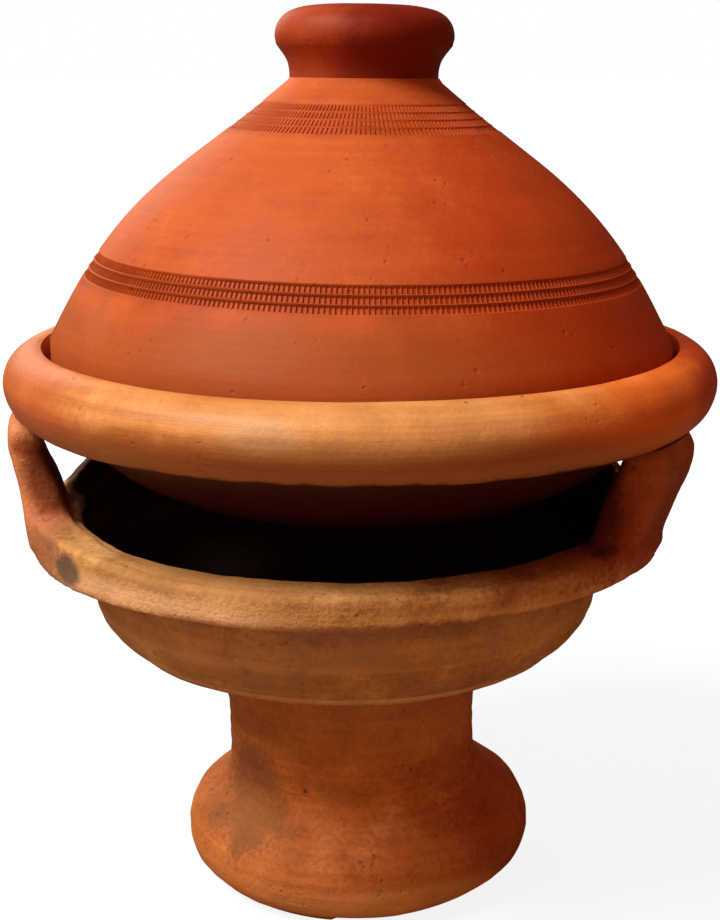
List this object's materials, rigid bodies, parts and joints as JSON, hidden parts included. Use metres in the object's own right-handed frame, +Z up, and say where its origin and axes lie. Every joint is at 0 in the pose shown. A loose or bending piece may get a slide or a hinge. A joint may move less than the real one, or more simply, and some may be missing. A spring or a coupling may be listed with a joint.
{
  "type": "tagine pot with brazier",
  "caption": "Unglazed clay tagine: a domed lid with a spool knob on a shallow rolled-rim dish, carried by the prongs of a footed charcoal brazier.",
  "frame": {"origin": "on the floor, under the middle of the foot", "axes": "+Z up through the middle of foot, dish and lid; -Y is the open front between the two side prongs; the rear rest is on +Y"},
  "size_m": [0.3, 0.3, 0.3773],
  "materials": {
    "lid_clay": "unglazed fired clay, matt, burnished lightly",
    "dish_clay": "unglazed fired clay, burnished rim",
    "brazier_clay": "rough unglazed fired clay, sandy, unpolished"
  },
  "bodies": {
    "brazier": {"brazier_foot": "brazier_clay", "brazier_bowl": "brazier_clay", "prong_left": "brazier_clay", "prong_right": "brazier_clay", "prong_rear": "brazier_clay"},
    "dish": {"dish": "dish_clay"},
    "lid": {"lid_shell": "lid_clay", "lid_knob": "lid_clay"}
  },
  "joints": [
    {"name": "dish_lift", "type": "slide", "parent": "brazier", "child": "dish", "axis": [0, 0, 1], "range_m": [0, 0.12]},
    {"name": "lid_lift", "type": "slide", "parent": "dish", "child": "lid", "axis": [0, 0, 1], "range_m": [0, 0.15]}
  ]
}
